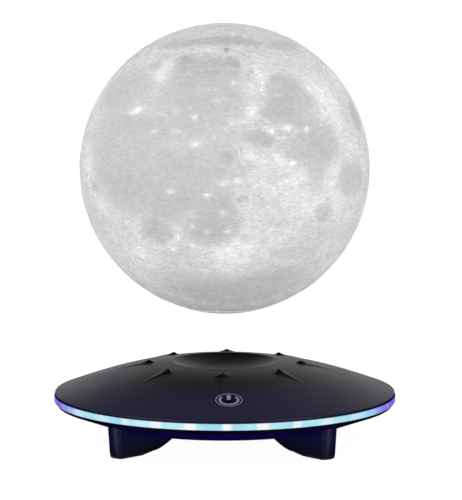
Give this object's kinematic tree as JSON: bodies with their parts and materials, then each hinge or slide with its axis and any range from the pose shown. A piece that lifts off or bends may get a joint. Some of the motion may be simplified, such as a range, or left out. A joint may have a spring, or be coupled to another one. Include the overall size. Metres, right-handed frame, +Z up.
{
  "type": "levitating lamp",
  "caption": "Moon globe lamp that floats and spins above a saucer-shaped magnetic base with a lit rim, touch key and blade feet.",
  "frame": {"origin": "on the table under the middle of the lamp, at the bottom of the foot pads", "axes": "+Z up through the middle of the base and the globe, -Y towards the front with the touch key, +X to the viewer's right"},
  "size_m": [0.1776, 0.1776, 0.2161],
  "materials": {
    "moon_shell": "matte",
    "cup_plastic": "satin",
    "cover": "satin",
    "shell": "satin",
    "light_band": "satin",
    "light_strip": "matte",
    "key": "satin",
    "board": "satin",
    "copper": "satin",
    "ferrite": "matte",
    "steel": "satin",
    "nickel": "polished",
    "tray": "matte",
    "rubber": "matte",
    "inlet": "satin"
  },
  "bodies": {
    "base": {"top_cover": "cover", "touch_key": "key", "touch_board": "board", "light_ring": "light_band", "led_strip": "light_strip", "bottom_shell": "shell", "leg_front_left": "shell", "leg_front_right": "shell", "leg_rear_left": "shell", "leg_rear_right": "shell", "foot_pad_front_left": "rubber", "foot_pad_front_right": "rubber", "foot_pad_rear_left": "rubber", "foot_pad_rear_right": "rubber", "cover_screw_1": "steel", "cover_screw_2": "steel", "cover_screw_3": "steel", "cover_screw_4": "steel", "leg_screw_1": "steel", "leg_screw_2": "steel", "leg_screw_3": "steel", "leg_screw_4": "steel", "magnet_tray": "tray", "tray_screw_1": "steel", "tray_screw_2": "steel", "ring_magnet": "ferrite", "coil_core_1": "steel", "coil_core_2": "steel", "coil_core_3": "steel", "coil_core_4": "steel", "coil_1": "copper", "coil_2": "copper", "coil_3": "copper", "coil_4": "copper", "power_coil": "copper", "sensor_board": "board", "control_board": "board", "board_screw_1": "steel", "board_screw_2": "steel", "dc_jack": "inlet"},
    "float": {"float_magnet": "nickel"},
    "globe": {"globe_shell": "moon_shell", "magnet_cup": "cup_plastic", "lock_ring": "cup_plastic", "pickup_coil": "copper", "cup_lid": "cup_plastic", "lamp_board": "board", "lamp_board_screw_1": "steel", "lamp_board_screw_2": "steel"}
  },
  "joints": [
    {"name": "globe_lift", "type": "slide", "parent": "base", "child": "float", "axis": [0, 0, 1], "range_m": [-0.0292, 0.06], "stiffness_N_per_m": 100, "springref_m": 0.0268},
    {"name": "globe_spin", "type": "hinge", "parent": "float", "child": "globe", "pos_m": [0, 0, 0.1411], "axis": [0, 0, 1], "continuous": true}
  ]
}
